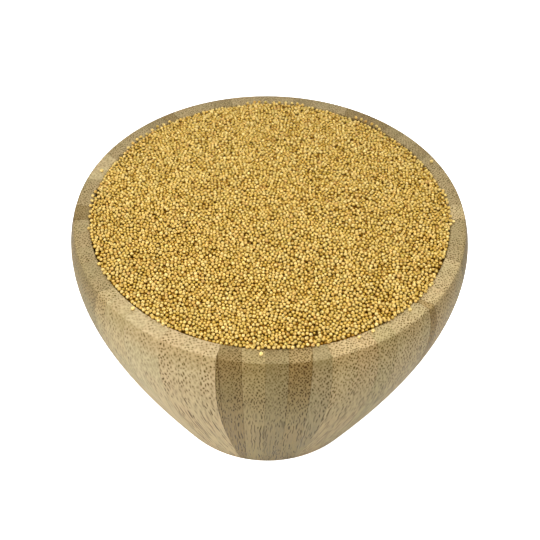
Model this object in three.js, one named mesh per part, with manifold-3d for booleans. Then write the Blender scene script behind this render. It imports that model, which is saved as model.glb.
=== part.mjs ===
// A turned bamboo bowl, filled to the brim with small yellow mustard seeds.
// Millimetres, +Z up. The origin is the centre of the base, where the bowl stands.

import * as THREE from 'three';
import { mergeVertices } from 'three/addons/utils/BufferGeometryUtils.js';
import Module from 'manifold-3d';

// Driving dimensions of the bowl
const RIM_RADIUS = 70;
const HEIGHT = 97;
const BASE_RADIUS = 42;
const RIM_WIDTH = 5.6;
const FLOOR_THICKNESS = 10;
const RIM_OUTER_ROUND = 1.2;
const RIM_INNER_ROUND = 0.6;
const BASE_ROUND = 1.6;

// The outer wall is one cubic curve from the rim to the base. It swells just below the rim
// and then runs in to the base. These are its two handles, as radius and depth below the rim.
const SHOULDER = { radius: 76.3, depth: 15.3 };
const FLANK = { radius: 68.6, depth: 40.3 };

// The hollow is another cubic curve, which drops straight from the rim and rounds into a flat floor.
const HOLLOW_DROP = 39;
const HOLLOW_FLOOR_REACH = 46;

// Driving dimensions of the seeds
const SEED_DIAMETER = 1.3;
const HEAP_RISE = 4.2;
const EDGE_BELOW_RIM = 0.3;
const FILL_GAP = 0.4;
const LAYER_DEPTH = 4;
const RELIEF_HEIGHT = 0.45;
const RELIEF_RINGS = 20;
const LOOSE_SEEDS = 150;
const LOOSE_SEED_SINK = 0.25;
const LOOSE_SEED_SPREAD = 0.15;

const BOWL_SEGMENTS = 64;
const FILL_SEGMENTS = 48;
const WALL_STEPS = 11;
const HOLLOW_STEPS = 9;
const ROUND_STEPS = 2;

const HOLLOW_RADIUS = RIM_RADIUS - RIM_WIDTH;
const HEAP_RADIUS = HOLLOW_RADIUS - FILL_GAP;

/** A repeatable stream of numbers from 0 to 1. */
function seededRandom(seed) {
  let state = seed;
  return () => {
    state = (state + 0x6d2b79f5) | 0;
    let mixed = Math.imul(state ^ (state >>> 15), 1 | state);
    mixed = (mixed + Math.imul(mixed ^ (mixed >>> 7), 61 | mixed)) ^ mixed;
    return ((mixed ^ (mixed >>> 14)) >>> 0) / 4294967296;
  };
}

/** Turns an outline of radius and height about the upright axis. */
function turned(outline, segments) {
  return new THREE.LatheGeometry(outline, segments).rotateX(Math.PI / 2);
}

/** Points of a quarter round between two corners of an outline, bulging towards the given corner. */
function quarterRound(from, corner, to) {
  return new THREE.QuadraticBezierCurve(from, corner, to).getPoints(ROUND_STEPS);
}

/** The outer wall from the rim's edge down to the base's edge. */
function outerWall() {
  return new THREE.CubicBezierCurve(
    new THREE.Vector2(RIM_RADIUS, HEIGHT),
    new THREE.Vector2(SHOULDER.radius, HEIGHT - SHOULDER.depth),
    new THREE.Vector2(FLANK.radius, HEIGHT - FLANK.depth),
    new THREE.Vector2(BASE_RADIUS, 0),
  );
}

/** The hollow's wall from the rim down to the middle of the floor, moved inwards by a gap. */
function hollowWall(gap = 0) {
  const floor = FLOOR_THICKNESS + gap;
  return new THREE.CubicBezierCurve(
    new THREE.Vector2(HOLLOW_RADIUS - gap, HEIGHT),
    new THREE.Vector2(HOLLOW_RADIUS - gap, HEIGHT - HOLLOW_DROP),
    new THREE.Vector2(HOLLOW_FLOOR_REACH - gap, floor),
    new THREE.Vector2(0, floor),
  );
}

/** The point of a curve at a given distance along it from its start. */
function pointAlong(curve, distance) {
  return curve.getPointAt(distance / curve.getLength());
}

function bowlGeometry() {
  const wall = outerWall();
  const hollow = hollowWall();
  const wallLength = wall.getLength();
  const wallShares = Array.from({ length: WALL_STEPS - 1 }, (_, i) => (i + 1) / WALL_STEPS);
  const hollowShares = Array.from({ length: HOLLOW_STEPS }, (_, i) => (i + 1) / HOLLOW_STEPS);

  const outline = [
    new THREE.Vector2(0, 0),
    ...quarterRound(
      new THREE.Vector2(BASE_RADIUS - BASE_ROUND, 0),
      new THREE.Vector2(BASE_RADIUS, 0),
      pointAlong(wall, wallLength - BASE_ROUND),
    ),
    ...wallShares.map((share) => wall.getPointAt(1 - share)),
    ...quarterRound(
      pointAlong(wall, RIM_OUTER_ROUND),
      new THREE.Vector2(RIM_RADIUS, HEIGHT),
      new THREE.Vector2(RIM_RADIUS - RIM_OUTER_ROUND, HEIGHT),
    ),
    ...quarterRound(
      new THREE.Vector2(HOLLOW_RADIUS + RIM_INNER_ROUND, HEIGHT),
      new THREE.Vector2(HOLLOW_RADIUS, HEIGHT),
      pointAlong(hollow, RIM_INNER_ROUND),
    ),
    ...hollowShares.map((share) => hollow.getPointAt(share)),
  ];
  return turned(outline, BOWL_SEGMENTS);
}

/** Height of the heap's smooth top at a distance from the axis. */
function heapHeight(radius) {
  const share = radius / HEAP_RADIUS;
  return HEIGHT - EDGE_BELOW_RIM + HEAP_RISE * (1 - share * share);
}

/** The filling below the top layer, a little clear of the bowl. */
function fillGeometry() {
  const wall = hollowWall(FILL_GAP);
  const shares = Array.from({ length: HOLLOW_STEPS + 1 }, (_, i) => i / HOLLOW_STEPS);
  const side = shares.map((share) => wall.getPointAt(share));
  const top = HEIGHT - LAYER_DEPTH / 2;
  side[0].y = top;
  return turned([...side.reverse(), new THREE.Vector2(0, top)], FILL_SEGMENTS);
}

/** Points of the uneven, domed top: rings round a middle point, with six more points in each. */
function reliefPoints(random) {
  const points = [[0, 0, heapHeight(0)]];
  for (let ring = 1; ring <= RELIEF_RINGS; ring++) {
    const radius = (HEAP_RADIUS * ring) / RELIEF_RINGS;
    const count = 6 * ring;
    const roughness = ring === RELIEF_RINGS ? 0 : RELIEF_HEIGHT;
    for (let i = 0; i < count; i++) {
      const angle = (2 * Math.PI * i) / count;
      const height = heapHeight(radius) + roughness * (2 * random() - 1);
      points.push([radius * Math.cos(angle), radius * Math.sin(angle), height]);
    }
  }
  return points;
}

/** The top layer: a disc with the relief as its upper face and a flat underside. */
function topLayerGeometry(relief) {
  const points = [...relief];
  const triangles = [];
  const ringStart = (ring) => (ring === 0 ? 0 : 1 + 3 * ring * (ring - 1));

  for (let ring = 1; ring <= RELIEF_RINGS; ring++) {
    const outerCount = 6 * ring;
    const innerCount = Math.max(6 * (ring - 1), 1);
    for (let sector = 0; sector < 6; sector++) {
      for (let i = 0; i < ring; i++) {
        const outer = ringStart(ring) + sector * ring + i;
        const outerNext = ringStart(ring) + ((sector * ring + i + 1) % outerCount);
        const inner = ringStart(ring - 1) + ((sector * (ring - 1) + i) % innerCount);
        triangles.push(outer, outerNext, inner);
        if (i < ring - 1) {
          const innerNext = ringStart(ring - 1) + ((sector * (ring - 1) + i + 1) % innerCount);
          triangles.push(inner, outerNext, innerNext);
        }
      }
    }
  }

  // The underside is flat, and an upright band joins it to the upper face.
  const edgeCount = 6 * RELIEF_RINGS;
  const edgeStart = ringStart(RELIEF_RINGS);
  const underside = HEIGHT - LAYER_DEPTH;
  const lowStart = points.length;
  for (let i = 0; i < edgeCount; i++) {
    const [x, y] = points[edgeStart + i];
    points.push([x, y, underside]);
  }
  const lowCentre = points.length;
  points.push([0, 0, underside]);
  for (let i = 0; i < edgeCount; i++) {
    const next = (i + 1) % edgeCount;
    triangles.push(edgeStart + i, lowStart + i, lowStart + next);
    triangles.push(edgeStart + i, lowStart + next, edgeStart + next);
    triangles.push(lowCentre, lowStart + next, lowStart + i);
  }

  const geometry = new THREE.BufferGeometry();
  geometry.setAttribute('position', new THREE.Float32BufferAttribute(points.flat(), 3));
  geometry.setIndex(triangles);
  return geometry;
}

/** Loose seeds on the heap, in a sunflower spiral, each on the relief's nearest point. */
function looseSeedGeometries(relief, random) {
  const goldenAngle = Math.PI * (3 - Math.sqrt(5));
  const reach = HEAP_RADIUS - 2 * SEED_DIAMETER;
  const seats = relief.map((point) => new THREE.Vector3(...point));
  const inReach = seats.filter((seat) => Math.hypot(seat.x, seat.y) < reach);
  const seeds = [];
  for (let i = 0; i < LOOSE_SEEDS; i++) {
    const radius = reach * Math.sqrt((i + random()) / LOOSE_SEEDS);
    const x = radius * Math.cos(i * goldenAngle);
    const y = radius * Math.sin(i * goldenAngle);
    const away = (seat) => Math.hypot(seat.x - x, seat.y - y);
    const seat = inReach.reduce((nearest, other) => (away(other) < away(nearest) ? other : nearest));
    const size = (SEED_DIAMETER / 2) * (1 + LOOSE_SEED_SPREAD * (2 * random() - 1));
    const seed = new THREE.IcosahedronGeometry(size, 0);
    seed.rotateX(Math.PI * random()).rotateZ(Math.PI * random());
    seeds.push(seed.translate(seat.x, seat.y, seat.z + size * (1 - 2 * LOOSE_SEED_SINK)));
    inReach.splice(inReach.indexOf(seat), 1);
  }
  return seeds;
}

const wasm = await Module();
wasm.setup();

/** A closed geometry as a solid that can be joined. */
function solidOf(geometry) {
  const shape = geometry.clone();
  shape.deleteAttribute('normal');
  shape.deleteAttribute('uv');
  const merged = mergeVertices(shape, 1e-4);
  return new wasm.Manifold(new wasm.Mesh({
    numProp: 3,
    vertProperties: new Float32Array(merged.attributes.position.array),
    triVerts: new Uint32Array(merged.index.array),
  }));
}

function geometryOf(solid) {
  const mesh = solid.getMesh();
  const geometry = new THREE.BufferGeometry();
  geometry.setAttribute('position', new THREE.BufferAttribute(mesh.vertProperties, 3));
  geometry.setIndex(new THREE.BufferAttribute(mesh.triVerts, 1));
  geometry.computeVertexNormals();
  return geometry;
}

/** The whole filling as one solid: the fill, its uneven top layer and the seeds that lie on it. */
function seedsGeometry() {
  const random = seededRandom(7);
  const relief = reliefPoints(random);
  const pieces = [topLayerGeometry(relief), ...looseSeedGeometries(relief, random)];
  const heap = pieces.reduce((joined, piece) => joined.add(solidOf(piece)), solidOf(fillGeometry()));
  return geometryOf(heap);
}

const bambooMaterial = new THREE.MeshStandardMaterial({ color: 0xb39a68, roughness: 0.6, metalness: 0 });
const seedMaterial = new THREE.MeshStandardMaterial({ color: 0xd8b25a, roughness: 0.45, metalness: 0 });

const bowl = new THREE.Mesh(bowlGeometry(), bambooMaterial);
bowl.name = 'bowl';

const seeds = new THREE.Mesh(seedsGeometry(), seedMaterial);
seeds.name = 'seeds';

const group = new THREE.Group();
group.add(bowl, seeds);

export default group;
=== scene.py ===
"""A turned bamboo bowl filled to the brim with small yellow mustard seeds, in metres."""

from collections import namedtuple
from math import atan2, cos, degrees, pi, radians, sin

import bmesh
import bpy
import numpy as np
from mathutils import Matrix, Vector
from mathutils.geometry import interpolate_bezier


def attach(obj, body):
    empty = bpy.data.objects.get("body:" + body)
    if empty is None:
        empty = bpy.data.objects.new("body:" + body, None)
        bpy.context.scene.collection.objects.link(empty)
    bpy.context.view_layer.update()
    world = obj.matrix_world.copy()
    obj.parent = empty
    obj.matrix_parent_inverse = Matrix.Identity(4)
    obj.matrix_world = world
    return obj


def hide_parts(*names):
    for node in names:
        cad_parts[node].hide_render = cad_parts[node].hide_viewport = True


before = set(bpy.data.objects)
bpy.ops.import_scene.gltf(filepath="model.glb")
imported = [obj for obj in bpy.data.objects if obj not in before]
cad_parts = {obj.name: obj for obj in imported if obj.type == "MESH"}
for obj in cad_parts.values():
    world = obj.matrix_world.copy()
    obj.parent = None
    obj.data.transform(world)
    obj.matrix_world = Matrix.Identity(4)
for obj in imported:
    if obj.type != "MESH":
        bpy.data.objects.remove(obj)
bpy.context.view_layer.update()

MM = 0.001
FULL_TURN = 360
MERGE_DISTANCE = 0.001 * MM

# The bowl as it is turned
RIM_RADIUS = 70 * MM
HEIGHT = 97 * MM
BASE_RADIUS = 42 * MM
RIM_WIDTH = 5.6 * MM
FLOOR_THICKNESS = 10 * MM
RIM_OUTER_ROUND = 0.6 * MM
RIM_INNER_ROUND = 0.6 * MM
BASE_ROUND = 1.6 * MM

# Handles of the outer wall's curve, as radius and depth below the rim
SHOULDER_RADIUS = 76.3 * MM
SHOULDER_DEPTH = 15.3 * MM
FLANK_RADIUS = 68.6 * MM
FLANK_DEPTH = 40.3 * MM

# Handles of the hollow's curve
HOLLOW_RADIUS = RIM_RADIUS - RIM_WIDTH
HOLLOW_DROP = 39 * MM
HOLLOW_FLOOR_REACH = 46 * MM

TURNING_STEPS = 360
WALL_STEPS = 44
HOLLOW_STEPS = 24
CURVE_SAMPLES = 400
ROUND_SEGMENTS = 4

# The bamboo: blocks glued side by side round the bowl, each glued up from flat strips. The fibres
# lean inwards on their way down, by this much for each unit of depth, and a little more at the rim.
STRIP_PITCH = 7.45 * MM
STRIPS_MEET_BELOW_RIM = 550 * MM
FIBRE_LEAN = 0.40
EXTRA_LEAN_AT_RIM = 0.13
STRAIGHT_BELOW = 40 * MM
GLUE_WIDTH = 0.16 * MM

# The heap
HEAP_RISE = 4.2 * MM
EDGE_BELOW_RIM = 0.3 * MM
FILL_GAP = 0.4 * MM
SWELL_SHARPNESS = 10
CORE_RINGS = 24
CORE_STEPS = 96

# The seeds: sizes as shares of the radius, and how deep the layer of them goes
SEED_RADIUS = 0.65 * MM
SEED_SPREAD = 0.11
SEED_CLEARANCE = 1.04
DRAWN_SIZE = 0.97
OUT_OF_ROUND = 0.05
SEED_COUNT = 14600
SEED_LAYER = 1.5 * MM
SHOWN_DEPTH = 0.9 * MM
RANDOM_START = 5

# How the seeds settle
SETTLING_STEPS = 160
PRESS_AT_START = 0.02 * MM
PRESS_AT_END = 0.002 * MM
UNEVENNESS = 0.35 * MM
FULL_SIZE_AT = 0.6
SIZE_AT_START = 0.7
LOOK_AGAIN_EVERY = 6
LOOK_REACH = 2.64 * SEED_RADIUS
SHARED_PUSH = 0.45
OVER_RIM_SHARE = 0.3
RIM_MARGIN = 0.2 * MM

PHOTO_FOCAL_LENGTH = 66.67
PHOTO_CAMERA = Vector((0.4 * MM, -266.8 * MM, 339.6 * MM))
PHOTO_TILT = radians(44.34)
PHOTO_ROLL = radians(1.34)
SENSOR_WIDTH = 36


def srgb(red, green, blue):
    """A colour from screen values of 0 to 255, as the linear values that materials take."""
    return tuple(
        share / 12.92 if share <= 0.04045 else ((share + 0.055) / 1.055) ** 2.4
        for share in (red / 255, green / 255, blue / 255)
    )


# How a strip looks: its ground colour, how dark its fibre bundles are, how far apart they lie, how
# much of its look has faded lower down the wall, and how dark its edges are
Finish = namedtuple("Finish", "ground bundles spacing fading edges")
FINISHES = {
    "cream": Finish(srgb(186, 168, 130), 0.42, 1.20 * MM, 0.00, 0.2),
    "straw": Finish(srgb(182, 164, 124), 0.44, 1.20 * MM, 0.00, 0.2),
    "rosy": Finish(srgb(186, 165, 126), 0.82, 1.15 * MM, 0.00, 0.2),
    "oat": Finish(srgb(182, 163, 121), 1.20, 0.92 * MM, 0.10, 0.3),
    "blush": Finish(srgb(188, 166, 123), 1.40, 0.90 * MM, 0.25, 0.3),
    "sage": Finish(srgb(178, 160, 116), 1.45, 0.90 * MM, 0.10, 0.3),
    "tan": Finish(srgb(160, 142, 103), 1.20, 0.90 * MM, 0.00, 0.3),
    "grey": Finish(srgb(146, 129, 91), 1.20, 0.82 * MM, 0.00, 0.3),
    "fawn": Finish(srgb(161, 142, 100), 1.10, 0.88 * MM, 0.35, 0.2),
    "drab": Finish(srgb(146, 129, 91), 1.15, 0.82 * MM, 0.15, 0.3),
    "olive": Finish(srgb(157, 140, 102), 0.95, 0.90 * MM, 0.00, 0.3),
    "freckled": Finish(srgb(156, 135, 92), 4.60, 0.80 * MM, 0.70, 0.8),
    "umber": Finish(srgb(139, 119, 79), 1.35, 0.80 * MM, 0.10, 1.0),
    "walnut": Finish(srgb(162, 139, 94), 1.50, 0.85 * MM, 0.60, 0.9),
}
FADED = srgb(149, 132, 93)

# Each block starts at an angle in degrees from the photographed front, growing towards +X there.
# joint is how far one of its strip joints lies from the block's middle, in that direction, and
# dense_side is 1 where bundles crowd on that side of their strip and 0 where they crowd on the
# other. The strips are named in that direction too.
Block = namedtuple("Block", "start joint dense_side strips")
BLOCKS = [
    Block(-84, 1.0 * MM, 1, ("tan", "tan", "tan", "olive", "olive", "oat")),
    Block(-49, 2.6 * MM, 0, ("straw", "straw", "cream", "cream", "rosy", "rosy", "rosy")),
    Block(-13, -2.8 * MM, 1, ("umber", "umber", "fawn", "drab", "freckled", "olive")),
    Block(17, 3.7 * MM, 1, ("blush", "blush", "blush", "sage", "oat", "oat")),
    Block(49, -2.2 * MM, 0, ("walnut", "blush", "oat", "oat", "tan", "tan")),
    Block(82, 3.0 * MM, 1, ("oat", "tan", "oat", "tan", "tan", "tan")),
    Block(115, 0.5 * MM, 0, ("olive", "grey", "olive", "grey", "umber", "umber")),
    Block(148, 2.6 * MM, 1, ("umber", "umber", "olive", "olive", "grey", "tan")),
    Block(181, 3.4 * MM, 0, ("tan", "olive", "tan", "grey", "tan", "tan")),
    Block(215, 1.2 * MM, 0, ("umber", "grey", "olive", "tan", "tan", "straw")),
    Block(247, 2.2 * MM, 1, ("straw", "straw", "tan", "tan", "umber", "umber")),
]

# Kinds of seed: the skin's colour and how many of all the seeds have it
SeedKind = namedtuple("SeedKind", "name skin share")
SEED_KINDS = [
    SeedKind("seeds_straw", srgb(219, 192, 112), 0.18),
    SeedKind("seeds_honey", srgb(217, 185, 102), 0.22),
    SeedKind("seeds_gold", srgb(213, 180, 92), 0.22),
    SeedKind("seeds_wheat", srgb(216, 188, 107), 0.19),
    SeedKind("seeds_amber", srgb(210, 173, 90), 0.165),
    SeedKind("seeds_olive", srgb(208, 185, 98), 0.01),
    SeedKind("seeds_russet", srgb(198, 158, 84), 0.015),
]
# The core's skin is painted dark and deep in colour, as shade among the seeds under the top ones
SHADED_CORE_SKIN = srgb(112, 78, 14)

# Where the heap swells or dips along its edge: an angle from the front, how wide in degrees, how high
EDGE_SWELLS = [
    (8, 11, 0.9 * MM),
    (47, 15, 0.8 * MM),
    (-13, 8, -0.3 * MM),
    (-38, 12, 0.2 * MM),
    (-75, 14, 0.4 * MM),
    (95, 12, 0.3 * MM),
    (145, 14, -0.2 * MM),
    (178, 16, 0.4 * MM),
    (-135, 14, 0.3 * MM),
]

# Stray seeds on the rim, as an angle from the front and a distance from the axis. They are pale,
# and their size is the smallest share of the usual radius plus up to the variation.
STRAY_SEEDS = [
    (-1.5, 67.2 * MM),
    (26.3, 66.1 * MM),
    (30.9, 65.9 * MM),
    (-41.6, 66.0 * MM),
    (86.4, 65.6 * MM),
    (115.8, 67.6 * MM),
    (-107.1, 66.1 * MM),
    (44.7, 66.0 * MM),
]
STRAY_SMALLEST = 0.9
STRAY_VARIATION = 0.25
STRAY_KIND = 0
PALEST = 1

# Arcs where a row of seeds has spilled onto the rim's inner edge: from one angle to another, and how
# many seeds
SPILLS = [
    (-6, 15, 15),
    (34, 61, 20),
    (-38, -28, 5),
    (-64, -55, 4),
    (84, 102, 9),
    (138, 150, 6),
    (168, 190, 10),
    (-142, -120, 9),
    (-98, -84, 6),
]
# How far outside the hollow's edge they lie, and how unevenly along it
SPILL_REACH = (-0.25 * MM, 0.65 * MM)
SPILL_JITTER = 0.2


# ---------------------------------------------------------------- shapes


def place(angle, radius, height):
    """The point at an angle in degrees from the front, a distance from the axis and a height."""
    turn = radians(angle)
    return Vector((radius * sin(turn), -radius * cos(turn), height))


def new_piece(name, mesh, material):
    """A piece of the object, with its place in its mesh, that moves with the bowl."""
    piece = bpy.data.objects.new(name, mesh)
    bpy.context.scene.collection.objects.link(piece)
    mesh.materials.append(material)
    mesh.shade_smooth()
    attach(piece, "root")
    return piece


def mesh_from(name, bm):
    """A mesh from a bmesh, which is used up."""
    mesh = bpy.data.meshes.new(name)
    bm.to_mesh(mesh)
    bm.free()
    return mesh


def turned(bm, outline, steps):
    """Spins an outline of radius and height, from axis to axis, into a closed shape."""
    chain = [bm.verts.new(place(0, radius, height)) for radius, height in outline]
    edges = [bm.edges.new(pair) for pair in zip(chain, chain[1:])]
    bmesh.ops.spin(
        bm,
        geom=chain + edges,
        cent=(0, 0, 0),
        axis=(0, 0, 1),
        angle=2 * pi,
        steps=steps,
        use_merge=True,
    )
    bmesh.ops.remove_doubles(bm, verts=bm.verts, dist=MERGE_DISTANCE)
    bmesh.ops.recalc_face_normals(bm, faces=bm.faces)


def evenly_spaced(start, start_handle, end_handle, end, steps):
    """Points along a curve at even distances, each as a radius and a height."""
    curve = np.array(interpolate_bezier(start, start_handle, end_handle, end, CURVE_SAMPLES))
    lengths = np.hypot(*np.diff(curve[:, :2], axis=0).T)
    along = np.concatenate([[0], np.cumsum(lengths)])
    stops = np.linspace(0, along[-1], steps + 1)
    return list(zip(*(np.interp(stops, along, curve[:, axis]) for axis in (0, 1))))


def wall_outline():
    """The outer wall, from the base's edge up to the rim's edge."""
    return evenly_spaced(
        (BASE_RADIUS, 0),
        (FLANK_RADIUS, HEIGHT - FLANK_DEPTH),
        (SHOULDER_RADIUS, HEIGHT - SHOULDER_DEPTH),
        (RIM_RADIUS, HEIGHT),
        WALL_STEPS,
    )


def hollow_outline(gap=0.0):
    """The hollow, from the rim down to the middle of its floor, moved inwards by a gap."""
    floor = FLOOR_THICKNESS + gap
    return evenly_spaced(
        (HOLLOW_RADIUS - gap, HEIGHT),
        (HOLLOW_RADIUS - gap, HEIGHT - HOLLOW_DROP),
        (HOLLOW_FLOOR_REACH - gap, floor),
        (0, floor),
        HOLLOW_STEPS,
    )


def round_off(bm, radius, height, amount):
    """Rounds the ring edge that runs round the bowl at a radius and a height."""
    near = 0.01 * MM
    ring = [
        edge
        for edge in bm.edges
        if all(
            abs(vert.co.xy.length - radius) < near and abs(vert.co.z - height) < near
            for vert in edge.verts
        )
    ]
    bmesh.ops.bevel(
        bm,
        geom=ring,
        offset=amount,
        affect="EDGES",
        segments=ROUND_SEGMENTS,
        profile=0.5,
        material=-1,
    )


def angle_of(point):
    """A point's angle in degrees from the front, counted on from the first block's start."""
    angle = degrees(atan2(point.x, -point.y))
    first = BLOCKS[0].start
    return first + (angle - first) % FULL_TURN


def block_edges():
    """The angles of the joints between blocks, from the first block's start once round to it."""
    starts = [block.start for block in BLOCKS]
    return starts + [starts[0] + FULL_TURN]


def faces_between(bm, start, end):
    """The faces that lie between two angles."""
    return [face for face in bm.faces if start < angle_of(face.calc_center_median()) < end]


def fan_out(point, across):
    """How far a point lies across its block, measured at the rim along the strips' slant."""
    return point.dot(across) / (1 + (point.z - HEIGHT) / STRIPS_MEET_BELOW_RIM)


def cut_along(bm, faces, joint, across):
    """Cuts faces along one strip joint, which slants with the strips."""
    lean = atan2(joint, STRIPS_MEET_BELOW_RIM)
    edges = {edge for face in faces for edge in face.edges}
    verts = {vert for face in faces for vert in face.verts}
    bmesh.ops.bisect_plane(
        bm,
        geom=faces + list(edges) + list(verts),
        dist=MERGE_DISTANCE,
        plane_co=(0, 0, HEIGHT - STRIPS_MEET_BELOW_RIM),
        plane_no=across * cos(lean) - Vector((0, 0, sin(lean))),
    )


# What every face notes of its strip and its block, in the order in which cut_strips fills it in
STRIP_NOTES = (
    "strip_bundles",
    "strip_spacing",
    "strip_seed",
    "block_turn",
    "block_joint",
    "strip_fading",
    "strip_edges",
    "dense_side",
)


def cut_strips(bm):
    """Cuts each block's faces along its strip joints and notes how each strip looks."""
    ground = bm.faces.layers.float_color.new("strip_ground")
    notes = [bm.faces.layers.float.new(name) for name in STRIP_NOTES]
    edges = block_edges()
    strip_number = 0
    for block, end in zip(BLOCKS, edges[1:]):
        middle = (block.start + end) / 2
        across = Vector((cos(radians(middle)), sin(radians(middle)), 0))
        half_width = RIM_RADIUS * sin(radians(end - block.start) / 2)
        first = -half_width + (half_width + block.joint) % STRIP_PITCH
        joints = np.arange(first, half_width, STRIP_PITCH)
        for joint in joints:
            cut_along(bm, faces_between(bm, block.start, end), joint, across)
        for face in faces_between(bm, block.start, end):
            side = fan_out(face.calc_center_median(), across)
            strip = int(np.searchsorted(joints, side))
            finish = FINISHES[block.strips[min(strip, len(block.strips) - 1)]]
            face[ground] = (*finish.ground, 1)
            values = (
                finish.bundles,
                finish.spacing,
                strip_number + strip,
                radians(middle),
                block.joint,
                finish.fading,
                finish.edges,
                block.dense_side,
            )
            for note, value in zip(notes, values):
                face[note] = value
        strip_number += len(joints) + 1


def mark_block_joints(bm):
    """Notes each point's distance from the nearest joint between blocks."""
    to_joint = bm.verts.layers.float.new("to_joint")
    edges = block_edges()
    for vert in bm.verts:
        angle = angle_of(vert.co)
        turn = min(abs(angle - edge) for edge in edges)
        vert[to_joint] = vert.co.xy.length * radians(turn)


def bamboo_bowl(material):
    """The bowl: turned, its edges eased, and its faces cut along the strips."""
    bm = bmesh.new()
    turned(bm, [(0, 0), *wall_outline(), *hollow_outline()], TURNING_STEPS)
    round_off(bm, BASE_RADIUS, 0, BASE_ROUND)
    round_off(bm, RIM_RADIUS, HEIGHT, RIM_OUTER_ROUND)
    round_off(bm, HOLLOW_RADIUS, HEIGHT, RIM_INNER_ROUND)
    cut_strips(bm)
    mark_block_joints(bm)
    bowl = new_piece("bamboo_bowl", mesh_from("bamboo_bowl", bm), material)
    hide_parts("bowl")


# ---------------------------------------------------------------- seeds


def dome_height(radius):
    """How high the heap's even dome lies, at a distance from the axis."""
    reach = HOLLOW_RADIUS - FILL_GAP
    return HEIGHT - EDGE_BELOW_RIM + HEAP_RISE * (1 - (radius / reach) ** 2)


def heap_height(points):
    """How high the seeds' middles lie: the dome, and swells and dips along its edge."""
    radius = np.hypot(points[:, 0], points[:, 1])
    turn = np.degrees(np.arctan2(points[:, 0], -points[:, 1]))
    at_edge = np.minimum(radius / HOLLOW_RADIUS, 1) ** SWELL_SHARPNESS
    height = dome_height(radius)
    for angle, reach, rise in EDGE_SWELLS:
        off = (turn - angle + 180) % FULL_TURN - 180
        height += rise * at_edge * np.exp(-((off / reach) ** 2))
    return height


def depth_in_heap(points):
    """How far points lie below the tops of the heap's top seeds."""
    return heap_height(points) + SEED_RADIUS - points[:, 2]


def near_pairs(points, reach):
    """Numbers of the pairs of points that lie closer than reach, found with a grid of cells."""
    cell = np.floor((points - points.min(0)) / reach).astype(np.int64) + 1
    size = cell.max(0) + 2
    key = (cell[:, 0] * size[1] + cell[:, 1]) * size[2] + cell[:, 2]
    order = np.argsort(key, kind="stable")
    sorted_key = key[order]
    around = [(x, y, z) for x in (0, 1) for y in (-1, 0, 1) for z in (-1, 0, 1)]
    firsts, seconds = [], []
    for x, y, z in [step for step in around if step >= (0, 0, 0)]:
        target = key + (x * size[1] + y) * size[2] + z
        low = np.searchsorted(sorted_key, target, "left")
        count = np.searchsorted(sorted_key, target, "right") - low
        first = np.repeat(np.arange(len(points)), count)
        within = np.arange(count.sum()) - np.repeat(np.cumsum(count) - count, count)
        second = order[np.repeat(low, count) + within]
        close = ((points[first] - points[second]) ** 2).sum(1) < reach * reach
        if (x, y, z) == (0, 0, 0):
            close &= first < second
        firsts.append(first[close])
        seconds.append(second[close])
    return np.concatenate(firsts), np.concatenate(seconds)


def spilled_seeds(random):
    """Middles of the seeds that stay on the rim's inner edge while the others settle."""
    places = []
    for start, end, count in SPILLS:
        gap = (end - start) / count
        for number in range(count):
            angle = start + gap * (number + 0.5 + SPILL_JITTER * (2 * random.random() - 1))
            out = SPILL_REACH[0] + (SPILL_REACH[1] - SPILL_REACH[0]) * random.random()
            places.append(place(angle, HOLLOW_RADIUS + out, HEIGHT + SEED_RADIUS))
    return np.array(places)


def push_apart(seeds, size, growth, pairs):
    """Moves seeds that overlap, at their grown size, away from each other."""
    first, second = pairs
    count = len(seeds)
    apart = seeds[second] - seeds[first]
    distance = np.sqrt((apart**2).sum(1))
    overlap = (size[first] + size[second]) * growth - distance
    touching = overlap > 0
    one, other = first[touching], second[touching]
    push = apart[touching] * (overlap[touching] / distance[touching] / 2)[:, None]
    touches = np.bincount(one, minlength=count) + np.bincount(other, minlength=count)
    for axis in range(3):
        moved = np.bincount(other, push[:, axis], count) - np.bincount(one, push[:, axis], count)
        seeds[:, axis] += moved / np.maximum(touches * SHARED_PUSH, 1)


def hold_in_bowl(seeds, size, higher):
    """Keeps the seeds between the core and the heap's top, inside the wall and on top of the rim."""
    radius = np.hypot(seeds[:, 0], seeds[:, 1])
    top = heap_height(seeds)
    seeds[:, 2] = np.clip(seeds[:, 2], top - SEED_LAYER, top + higher)
    reach = HOLLOW_RADIUS - size
    below_rim = seeds[:, 2] < HEIGHT + OVER_RIM_SHARE * size
    outside = (radius > reach) & below_rim
    inwards = np.where(outside, reach / np.maximum(radius, MM), 1)
    seeds[:, :2] *= inwards[:, None]
    on_rim = (radius > HOLLOW_RADIUS - RIM_MARGIN) & ~below_rim
    seeds[on_rim, 2] = np.maximum(seeds[on_rim, 2], HEIGHT + size[on_rim])


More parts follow.
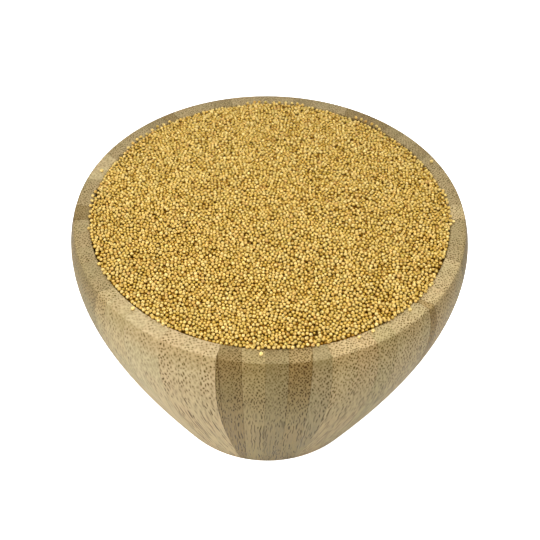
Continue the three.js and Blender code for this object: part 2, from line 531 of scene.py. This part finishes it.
def settled_seeds(random):
    """Middles and radii of seeds that fill a thin layer under the heap's top.

    They grow to size while they push each other apart and are pressed against the heap's top, which
    lies a little higher for some of them than for others."""
    count = SEED_COUNT
    size = SEED_RADIUS * (1 + SEED_SPREAD * np.clip(random.standard_normal(count), -2, 2))
    radius = (HOLLOW_RADIUS - SEED_RADIUS) * np.sqrt(random.random(count))
    turn = 2 * pi * random.random(count)
    depth = SEED_LAYER * random.random(count)
    seeds = np.stack([radius * np.cos(turn), radius * np.sin(turn), -depth], 1)
    seeds[:, 2] += heap_height(seeds)
    higher = UNEVENNESS * (2 * random.random(count) - 1)
    spilled = spilled_seeds(random)
    seeds[: len(spilled)] = spilled
    size[: len(spilled)] = SEED_RADIUS

    for step in range(SETTLING_STEPS):
        share = step / SETTLING_STEPS
        growth = SEED_CLEARANCE * min(1, SIZE_AT_START + (1 - SIZE_AT_START) * share / FULL_SIZE_AT)
        if step % LOOK_AGAIN_EVERY == 0:
            pairs = near_pairs(seeds, LOOK_REACH)
        seeds[:, 2] += PRESS_AT_START * (1 - share) + PRESS_AT_END * share
        push_apart(seeds, size, growth, pairs)
        hold_in_bowl(seeds, size, higher)
        seeds[: len(spilled)] = spilled
    return seeds, size


def stray_seeds(random):
    """Middles and radii of the few seeds that lie on the rim."""
    size = SEED_RADIUS * (STRAY_SMALLEST + STRAY_VARIATION * random.random(len(STRAY_SEEDS)))
    seeds = np.array([place(angle, radius, HEIGHT) for angle, radius in STRAY_SEEDS])
    seeds[:, 2] += size
    return seeds, size


def ball(rounder):
    """Points and faces of a small ball of radius 1: 60 faces, or 20 for a seed that hardly shows."""
    bm = bmesh.new()
    bmesh.ops.create_icosphere(bm, subdivisions=1, radius=1)
    if rounder:
        bmesh.ops.poke(bm, faces=bm.faces)
        for vert in bm.verts:
            vert.co.normalize()
        bmesh.ops.delete(bm, geom=bm.faces[:] + bm.edges[:], context="EDGES_FACES")
        bmesh.ops.convex_hull(bm, input=bm.verts)
    bmesh.ops.recalc_face_normals(bm, faces=bm.faces)
    bm.verts.index_update()
    points = np.array([vert.co for vert in bm.verts])
    faces = np.array([[vert.index for vert in face.verts] for face in bm.faces])
    bm.free()
    return points, faces


def random_turns(count, random):
    """Random rotation matrices, each with columns at right angles."""
    first, rough = random.standard_normal((2, count, 3))
    first /= np.linalg.norm(first, axis=1)[:, None]
    second = np.cross(first, rough)
    second /= np.linalg.norm(second, axis=1)[:, None]
    return np.stack([first, second, np.cross(first, second)], 2)


def copies(shape, seeds, stretch, turns):
    """Points and faces of one shape copied to every seed."""
    points, faces = shape
    placed = np.einsum("nij,nkj->nki", turns, points * stretch[:, None, :]) + seeds[:, None, :]
    numbered = faces[None, :, :] + len(points) * np.arange(len(seeds))[:, None, None]
    return placed.reshape(-1, 3), numbered.reshape(-1, 3)


Seeds = namedtuple("Seeds", "middles stretch turns tone kind shown")


def all_seeds():
    """Every seed's place, stretch, turn, tone and kind, and whether it shows."""
    random = np.random.default_rng(RANDOM_START)
    settled, settled_size = settled_seeds(random)
    stray, stray_size = stray_seeds(random)
    middles = np.concatenate([settled, stray])
    size = np.concatenate([settled_size, stray_size])
    count = len(middles)
    turns = random_turns(count, random)
    unround = 1 + OUT_OF_ROUND * (2 * random.random((count, 3)) - 1)
    stretch = DRAWN_SIZE * size[:, None] * unround
    tone = random.random(count)
    kind = random.choice(len(SEED_KINDS), count, p=[kind.share for kind in SEED_KINDS])
    kind[-len(stray) :] = STRAY_KIND
    tone[-len(stray) :] = PALEST
    shown = middles[:, 2] > heap_height(middles) - SHOWN_DEPTH
    return Seeds(middles, stretch, turns, tone, kind, shown)


def joined_seeds(name, seeds, number):
    """One mesh of all the seeds of a kind, with each point's tone and its depth in the heap."""
    joined_points, joined_faces, joined_tones = [], [], []
    start = 0
    for rounder in (True, False):
        chosen = (seeds.kind == number) & (seeds.shown == rounder)
        shape = ball(rounder)
        points, faces = copies(
            shape, seeds.middles[chosen], seeds.stretch[chosen], seeds.turns[chosen]
        )
        joined_points.append(points)
        joined_faces.append(faces + start)
        joined_tones.append(np.repeat(seeds.tone[chosen], len(shape[0])))
        start += len(points)
    points = np.concatenate(joined_points)
    mesh = bpy.data.meshes.new(name)
    mesh.from_pydata(points, [], np.concatenate(joined_faces))
    tones = mesh.attributes.new("seed_tone", "FLOAT", "POINT")
    tones.data.foreach_set("value", np.concatenate(joined_tones).astype(np.float32))
    depths = mesh.attributes.new("depth_in_heap", "FLOAT", "POINT")
    depths.data.foreach_set("value", depth_in_heap(points).astype(np.float32))
    return mesh


def seed_pieces(materials):
    """The heap's seeds as joined meshes, one for each kind."""
    seeds = all_seeds()
    for number, (name, _, _) in enumerate(SEED_KINDS):
        piece = new_piece(name, joined_seeds(name, seeds, number), materials[name])
        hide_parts("seeds")


def seed_core(material):
    """What lies under the top seeds: a plain core that fills the bowl, a little clear of it, its skin
    painted dark as shade.
    """
    side = hollow_outline(FILL_GAP)[::-1]
    below = SEED_LAYER + 0.4 * SEED_RADIUS
    radii = np.linspace(side[-1][0], 0, CORE_RINGS)
    top = [(radius, dome_height(radius) - below) for radius in radii]
    bm = bmesh.new()
    turned(bm, [*side[:-1], *top], CORE_STEPS)
    core = new_piece("seed_core", mesh_from("seed_core", bm), material)
    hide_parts("seeds")


# ---------------------------------------------------------------- materials


def add(tree, kind, inputs=None, **settings):
    """A new node. Each input is a value or another node's output."""
    node = tree.nodes.new("ShaderNode" + kind)
    for name, value in settings.items():
        setattr(node, name, value)
    for name, value in (inputs or {}).items():
        if isinstance(value, bpy.types.NodeSocket):
            tree.links.new(value, node.inputs[name])
        else:
            node.inputs[name].default_value = value
    return node


def maths(tree, operation, first, second=0.0, third=0.0):
    """The result of one Math node."""
    inputs = {0: first, 1: second, 2: third}
    return add(tree, "Math", inputs, operation=operation).outputs["Value"]


def product(tree, first, *others):
    """Several values multiplied together."""
    for other in others:
        first = maths(tree, "MULTIPLY", first, other)
    return first


def attribute(tree, name, output="Fac"):
    """A value that the mesh carries."""
    return add(tree, "Attribute", attribute_name=name).outputs[output]


def ramp(tree, value, low, high, from_value=0.0, to_value=1.0):
    """A smooth change from one value to another, as an input goes from low to high."""
    inputs = {
        "Value": value,
        "From Min": low,
        "From Max": high,
        "To Min": from_value,
        "To Max": to_value,
    }
    return add(tree, "MapRange", inputs, interpolation_type="SMOOTHSTEP").outputs["Result"]


def blended(tree, amount, first, second, blend_type="MIX"):
    """One colour blended into another."""
    inputs = {"Factor": amount, 6: first, 7: second}
    node = add(tree, "Mix", inputs, data_type="RGBA", blend_type=blend_type)
    return node.outputs[2]


def tinted(tree, colour, tint):
    """A colour multiplied by a tint."""
    return blended(tree, 1.0, colour, (*tint, 1), "MULTIPLY")


def noise(tree, vector, scale=1.0, detail=2.0):
    """The value of a noise texture."""
    inputs = {"Vector": vector, "Scale": scale, "Detail": detail}
    return add(tree, "TexNoise", inputs).outputs["Fac"]


def new_material(name):
    """A material with its node tree and its shader."""
    material = bpy.data.materials.new(name)
    material.use_nodes = True
    tree = material.node_tree
    return material, tree, tree.nodes["Principled BSDF"]


def place_in_mm(tree):
    """The place on the piece, in millimetres."""
    place_on_piece = add(tree, "TexCoord").outputs["Object"]
    scaled = add(tree, "VectorMath", {0: place_on_piece, "Scale": 1 / MM}, operation="SCALE")
    return scaled.outputs["Vector"]


def stretched(tree, vector, scale):
    """A pattern's coordinates, scaled on each axis."""
    return add(tree, "VectorMath", {0: vector, 1: scale}, operation="MULTIPLY").outputs["Vector"]


# Tints that the bamboo's colour is multiplied by
WARM_PATCH = (1.02, 0.985, 0.94)
COOL_PATCH = (0.98, 0.99, 0.94)
PALE_STREAK = (1.13, 1.13, 1.17)
DARK_STREAK = (0.83, 0.81, 0.76)
BUNDLE = (0.23, 0.175, 0.06)
WALL = (0.93, 0.945, 0.95)
# The under-rim tint is painted shade, just under the rim's outer edge
UNDER_RIM_SHADE = (0.82, 0.79, 0.71)
SCORCHED = (0.73, 0.66, 0.54)
GLUE = (0.44, 0.36, 0.26)

# Depths below the rim, in millimetres, between which the bamboo's look changes
WALL_BEGINS = (0.3, 0.7)
UNDER_RIM_SHADE_ENDS = (1.0, 11.0)
# The painted shade under the rim fades out between these
FADING = (6.0, 32.0)
SCORCH_BEGINS = (0.3, 1.0)
SCORCH_ENDS = (12.0, 34.0)
DOTS_DEEPEN = (0.5, 2.0)
LINES_SOFTEN = (30.0, 80.0)

# How fine each pattern is, per millimetre across the strip, through it and along the fibres
WANDER = (0.12, 0.12, 0.03)
PATCHES = (0.09, 0.09, 0.04)
STREAKS = (2.6, 2.6, 0.07)
MOTTLE = (0.2, 0.2, 0.06)

WANDER_REACH = (1.2, 1.2, 0.0)
BUNDLE_SCATTER = 0.52
BUNDLE_EDGE = (0.15, 0.31)
BUNDLE_STRENGTH = 1.8
STRIP_SHIFT = 3.7


def fibre_space(tree):
    """Millimetres across the strips, across the fibres and down, in each block's own directions.

    The strips fan out from below, and the fibres lean inwards on their way down."""
    turned_back = maths(tree, "MULTIPLY", attribute(tree, "block_turn"), -1.0)
    in_block = add(
        tree,
        "VectorRotate",
        {"Vector": place_in_mm(tree), "Angle": turned_back},
        rotation_type="Z_AXIS",
    )
    parts = add(tree, "SeparateXYZ", {"Vector": in_block.outputs["Vector"]}).outputs
    depth = maths(tree, "SUBTRACT", HEIGHT / MM, parts["Z"])
    slant = maths(tree, "MULTIPLY_ADD", depth, -MM / STRIPS_MEET_BELOW_RIM, 1.0)
    across = maths(tree, "DIVIDE", parts["X"], slant)
    straight_below = STRAIGHT_BELOW / MM
    bent = maths(tree, "MINIMUM", depth, straight_below)
    extra = -EXTRA_LEAN_AT_RIM / straight_below / 2
    extra = maths(tree, "MULTIPLY_ADD", bent, extra, EXTRA_LEAN_AT_RIM)
    through = maths(tree, "MULTIPLY_ADD", depth, -FIBRE_LEAN, parts["Y"])
    through = maths(tree, "SUBTRACT", through, maths(tree, "MULTIPLY", bent, extra))
    fibre = add(tree, "CombineXYZ", {"X": across, "Y": through, "Z": depth}).outputs["Vector"]
    return fibre, across, depth


def own_pattern(tree, fibre):
    """The fibre's coordinates moved along for each strip, so that no two strips match."""
    shift = maths(tree, "MULTIPLY", attribute(tree, "strip_seed"), STRIP_SHIFT)
    shift = add(tree, "CombineXYZ", {"X": shift}).outputs["Vector"]
    return add(tree, "VectorMath", {0: fibre, 1: shift}, operation="ADD").outputs["Vector"]


def strips_from_joint(tree, across):
    """How many strips over a point lies from its block's known joint."""
    joint = maths(tree, "MULTIPLY", attribute(tree, "block_joint"), 1 / MM)
    from_joint = maths(tree, "SUBTRACT", across, joint)
    return maths(tree, "DIVIDE", from_joint, STRIP_PITCH / MM)


def bundle_dots(tree, own):
    """The fibre bundles: 1 in each one and 0 around it, and how far a point lies from them.

    They run along the fibres, so the way the wall cuts them makes them dots or streaks."""
    wander = add(
        tree, "TexNoise", {"Vector": stretched(tree, own, WANDER), "Detail": 0.0}
    ).outputs["Color"]
    wandered = add(
        tree, "VectorMath", {0: wander, 1: WANDER_REACH, 2: own}, operation="MULTIPLY_ADD"
    ).outputs["Vector"]
    staggered = add(
        tree, "VectorRotate", {"Vector": wandered, "Angle": pi / 4}, rotation_type="Z_AXIS"
    ).outputs["Vector"]
    closeness = maths(tree, "DIVIDE", MM, attribute(tree, "strip_spacing"))
    bundle = add(
        tree,
        "TexVoronoi",
        {"Vector": staggered, "Scale": closeness, "Randomness": BUNDLE_SCATTER},
        voronoi_dimensions="2D",
    )
    away = bundle.outputs["Distance"]
    chance = add(tree, "SeparateColor", {"Color": bundle.outputs["Color"]}).outputs["Red"]
    dots = ramp(tree, away, *BUNDLE_EDGE, 1.0, 0.0)
    return product(tree, dots, ramp(tree, chance, 0.0, 1.0, 0.45, 1.0)), away


def bundle_strength(tree, strips_over, patches, faded, depth):
    """How dark the bundles are: most on the upper wall, on one side of their strip and in patches."""
    one_side = maths(tree, "SUBTRACT", attribute(tree, "dense_side"), 1.0)
    one_side = maths(tree, "ADD", maths(tree, "FRACT", strips_over), one_side)
    one_side = maths(tree, "ABSOLUTE", one_side)
    return product(
        tree,
        attribute(tree, "strip_bundles"),
        BUNDLE_STRENGTH,
        maths(tree, "SUBTRACT", 1.0, faded),
        ramp(tree, depth, *DOTS_DEEPEN, 0.8, 1.0),
        ramp(tree, one_side, 0.3, 1.0, 0.6, 1.2),
        ramp(tree, patches, 0.30, 0.60, 0.65, 1.1),
    )


def wood_colour(tree, patches, faded, streaked):
    """The strip's ground colour, with slow changes of tone and fine streaks."""
    ground = attribute(tree, "strip_ground", "Color")
    ground = blended(tree, faded, ground, (*FADED, 1))
    warmer = tinted(tree, ground, WARM_PATCH)
    cooler = tinted(tree, ground, COOL_PATCH)
    colour = blended(tree, ramp(tree, patches, 0.35, 0.65), cooler, warmer)
    paler = tinted(tree, colour, PALE_STREAK)
    darker = tinted(tree, colour, DARK_STREAK)
    return blended(tree, ramp(tree, streaked, 0.33, 0.67), darker, paler)


def turned_wall(tree, colour, depth):
    """The turned wall is browner than the rim, darker still just below it where shade is painted in,
    and scorched in places.
    """
    wall = tinted(tree, colour, WALL)
    # Painted shade just under the rim's edge, fading out lower down
    under_rim_shade = tinted(tree, colour, UNDER_RIM_SHADE)
    wall = blended(tree, ramp(tree, depth, *UNDER_RIM_SHADE_ENDS), under_rim_shade, wall)
    colour = blended(tree, ramp(tree, depth, *WALL_BEGINS), colour, wall)
    scorched = product(
        tree,
        attribute(tree, "strip_fading"),
        ramp(tree, depth, *SCORCH_BEGINS),
        ramp(tree, depth, *SCORCH_ENDS, 1.0, 0.0),
    )
    return blended(tree, scorched, colour, tinted(tree, colour, SCORCHED))


def glue_lines(tree, strips_over, depth):
    """The glue lines between blocks and between strips, darkest beside the dark strips."""
    block_line = ramp(tree, attribute(tree, "to_joint"), GLUE_WIDTH / 2, GLUE_WIDTH, 1.0, 0.0)
    to_strip_joint = maths(tree, "PINGPONG", strips_over, 0.5)
    line_half = GLUE_WIDTH / STRIP_PITCH / 2
    strip_line = ramp(tree, to_strip_joint, line_half, 2 * line_half, 1.0, 0.0)
    return product(
        tree,
        maths(tree, "MAXIMUM", block_line, strip_line),
        attribute(tree, "strip_edges"),
        ramp(tree, depth, *LINES_SOFTEN, 1.0, 0.5),
    )


def bamboo_material():
    """Bamboo: strips of different ground colours, dotted and streaked by the bundles of fibre."""
    material, tree, shader = new_material("bamboo")
    fibre, across, depth = fibre_space(tree)
    own = own_pattern(tree, fibre)
    strips_over = strips_from_joint(tree, across)
    faded = product(tree, attribute(tree, "strip_fading"), ramp(tree, depth, *FADING))
    patches = noise(tree, stretched(tree, own, PATCHES))
    dots, away = bundle_dots(tree, own)
    dots = product(tree, dots, bundle_strength(tree, strips_over, patches, faded, depth))
    dots = maths(tree, "MINIMUM", dots, 1.0)

    streaks = noise(tree, stretched(tree, own, STREAKS), detail=3.0)
    mottle = noise(tree, stretched(tree, own, MOTTLE), detail=3.0)
    streaked = maths(tree, "MULTIPLY_ADD", streaks, 0.6, maths(tree, "MULTIPLY", mottle, 0.25))
    streaked = maths(tree, "MULTIPLY_ADD", ramp(tree, away, 0.35, 0.65), 0.15, streaked)
    colour = wood_colour(tree, patches, faded, streaked)
    colour = blended(tree, dots, colour, tinted(tree, colour, BUNDLE))
    colour = turned_wall(tree, colour, depth)
    lines = glue_lines(tree, strips_over, depth)
    colour = blended(tree, lines, colour, tinted(tree, colour, GLUE))
    tree.links.new(colour, shader.inputs["Base Color"])

    tree.links.new(ramp(tree, streaked, 0.3, 0.7, 0.42, 0.58), shader.inputs["Roughness"])
    relief = maths(tree, "SUBTRACT", maths(tree, "MULTIPLY", streaks, 0.4), dots)
    relief = maths(tree, "SUBTRACT", relief, lines)
    bump = add(tree, "Bump", {"Strength": 0.35, "Distance": 0.06 * MM, "Height": relief})
    tree.links.new(bump.outputs["Normal"], shader.inputs["Normal"])
    shader.inputs["IOR"].default_value = 1.45
    shader.inputs["Specular IOR Level"].default_value = 0.12
    shader.inputs["Specular Tint"].default_value = (1.0, 0.9, 0.6, 1)
    return material


# Tints that a seed's skin is multiplied by
PALE_SEED = (1.12, 1.13, 1.36)
DARK_SEED = (0.83, 0.79, 0.66)
BLOTCH = (0.84, 0.78, 0.66)
# The last two tints are painted shade, on the seeds' sides and deep in the gaps between them
SIDE_SHADE = (0.86, 0.79, 0.42)
DEEP_SHADE = (0.42, 0.27, 0.02)

# Depths in the heap between which painted shade turns the skins deeper in colour and then darker
SIDE_SHADE_BETWEEN = (0.05 * MM, 0.65 * MM)
DEEP_SHADE_BETWEEN = (0.35 * MM, 1.00 * MM)

BLOTCHES_PER_METRE = 1400.0


def seed_skin():
    """A seed's skin: its colour changed a little from seed to seed, with faint blotches, and painted
    shade that deepens and darkens it the deeper it lies in the heap.
    """
    group = bpy.data.node_groups.new("Seed skin", "ShaderNodeTree")
    group.interface.new_socket("Skin", in_out="INPUT", socket_type="NodeSocketColor")
    group.interface.new_socket("Color", in_out="OUTPUT", socket_type="NodeSocketColor")
    group.interface.new_socket("Roughness", in_out="OUTPUT", socket_type="NodeSocketFloat")
    group.interface.new_socket("Normal", in_out="OUTPUT", socket_type="NodeSocketVector")
    skin = group.nodes.new("NodeGroupInput").outputs["Skin"]
    made = group.nodes.new("NodeGroupOutput")

    place_on_seed = add(group, "TexCoord").outputs["Object"]
    blotches = noise(group, place_on_seed, BLOTCHES_PER_METRE)
    tone = attribute(group, "seed_tone")
    colour = blended(group, tone, tinted(group, skin, DARK_SEED), tinted(group, skin, PALE_SEED))
    blotched = ramp(group, blotches, 0.52, 0.70, 0.0, 0.8)
    colour = blended(group, blotched, colour, tinted(group, colour, BLOTCH))
    # Painted shade: the deeper a point lies in the heap, the deeper in colour and then the darker its
    # skin
    depth = attribute(group, "depth_in_heap")
    side_shade = ramp(group, depth, *SIDE_SHADE_BETWEEN)
    colour = blended(group, side_shade, colour, tinted(group, colour, SIDE_SHADE))
    deep_shade = ramp(group, depth, *DEEP_SHADE_BETWEEN)
    colour = blended(group, deep_shade, colour, tinted(group, colour, DEEP_SHADE))
    group.links.new(colour, made.inputs["Color"])
    group.links.new(ramp(group, blotches, 0.3, 0.7, 0.32, 0.46), made.inputs["Roughness"])
    bump = add(group, "Bump", {"Strength": 0.25, "Distance": 0.03 * MM, "Height": blotches})
    group.links.new(bump.outputs["Normal"], made.inputs["Normal"])
    return group


def seed_material(name, skin, group):
    """One kind of seed."""
    material, tree, shader = new_material(name)
    surface = tree.nodes.new("ShaderNodeGroup")
    surface.node_tree = group
    surface.inputs["Skin"].default_value = (*skin, 1)
    tree.links.new(surface.outputs["Color"], shader.inputs["Base Color"])
    tree.links.new(surface.outputs["Roughness"], shader.inputs["Roughness"])
    tree.links.new(surface.outputs["Normal"], shader.inputs["Normal"])
    shader.inputs["IOR"].default_value = 1.52
    shader.inputs["Specular Tint"].default_value = (1.0, 0.85, 0.45, 1)
    return material


# ---------------------------------------------------------------- studio

# Square lamps that face the bowl's rim: where each stands, how wide it is, and its watts
Lamp = namedtuple("Lamp", "name location width watts")
LAMPS = [
    Lamp("back_light", (0, 1.53, 1.38), 1.2, 19),
    Lamp("left_light", (-1.3, -0.75, 0.2), 0.6, 17.4),
    Lamp("right_light", (1.41, -0.51, 0.64), 0.9, 7.2),
    Lamp("top_light", (0, -0.07, 0.4), 0.15, 0.56),
    Lamp("front_light", (0, -0.3, 0.5), 0.3, 1.5),
]
WHITE = (1, 1, 1, 1)
FLOOR_COLOUR = (0.86, 0.86, 0.86, 1)
FLOOR_RADIUS = 4.0

# How strongly the floor and the backdrop glow towards the camera, and how strongly on the bowl
FLOOR_SEEN = 1.0
FLOOR_GLOW = 0.22
BACKDROP_SEEN = 0.97
BACKDROP_GLOW = 0.03


def area_light(lamp):
    """A soft lamp that faces the bowl's rim."""
    light = bpy.data.lights.new(lamp.name, "AREA")
    light.shape = "RECTANGLE"
    light.size, light.size_y = lamp.width, lamp.width
    light.energy = lamp.watts
    holder = bpy.data.objects.new(lamp.name, light)
    bpy.context.scene.collection.objects.link(holder)
    holder.location = lamp.location
    holder.visible_camera = False
    towards = Vector((0, 0, HEIGHT)) - Vector(lamp.location)
    holder.rotation_euler = towards.to_track_quat("-Z", "Y").to_euler()


def floor_piece():
    """A pale round floor that glows a little, and is plain white to the camera."""
    bm = bmesh.new()
    bmesh.ops.create_circle(bm, cap_ends=True, segments=96, radius=FLOOR_RADIUS)
    floor_mesh = mesh_from("floor", bm)
    floor = bpy.data.objects.new("floor", floor_mesh)
    bpy.context.scene.collection.objects.link(floor)
    material, tree, shader = new_material("floor")
    shader.inputs["Base Color"].default_value = FLOOR_COLOUR
    shader.inputs["Roughness"].default_value = 0.9
    shader.inputs["Emission Color"].default_value = WHITE
    seen = add(tree, "LightPath").outputs["Is Camera Ray"]
    glow = maths(tree, "MULTIPLY_ADD", seen, FLOOR_SEEN, FLOOR_GLOW)
    tree.links.new(glow, shader.inputs["Emission Strength"])
    floor_mesh.materials.append(material)


def backdrop():
    """A plain white backdrop that gives the bowl hardly any light."""
    world = bpy.data.worlds.new("studio")
    world.use_nodes = True
    tree = world.node_tree
    background = tree.nodes["Background"]
    background.inputs["Color"].default_value = WHITE
    seen = add(tree, "LightPath").outputs["Is Camera Ray"]
    strength = maths(tree, "MULTIPLY_ADD", seen, BACKDROP_SEEN, BACKDROP_GLOW)
    tree.links.new(strength, background.inputs["Strength"])
    bpy.context.scene.world = world


def studio():
    """A pale floor under plain soft light."""
    floor_piece()
    backdrop()
    for lamp in LAMPS:
        area_light(lamp)
    bpy.context.scene.view_settings.view_transform = "Standard"


def photo_camera():
    """The photograph's viewpoint: above the front edge, looking down at about 45 degrees."""
    lens = bpy.data.cameras.new("camera")
    lens.lens = PHOTO_FOCAL_LENGTH
    lens.sensor_width = SENSOR_WIDTH
    lens.clip_start, lens.clip_end = 0.01, 20
    camera = bpy.data.objects.new("camera", lens)
    bpy.context.scene.collection.objects.link(camera)
    turn = Matrix.Rotation(PHOTO_TILT, 4, "X") @ Matrix.Rotation(PHOTO_ROLL, 4, "Z")
    camera.matrix_world = Matrix.Translation(PHOTO_CAMERA) @ turn
    bpy.context.scene.camera = camera


photo_camera()
studio()
bamboo_bowl(bamboo_material())
skin_group = seed_skin()
seed_materials = {
    name: seed_material(name, skin, skin_group) for name, skin, _ in SEED_KINDS
}
seed_pieces(seed_materials)
seed_core(seed_material("seed_core", SHADED_CORE_SKIN, skin_group))
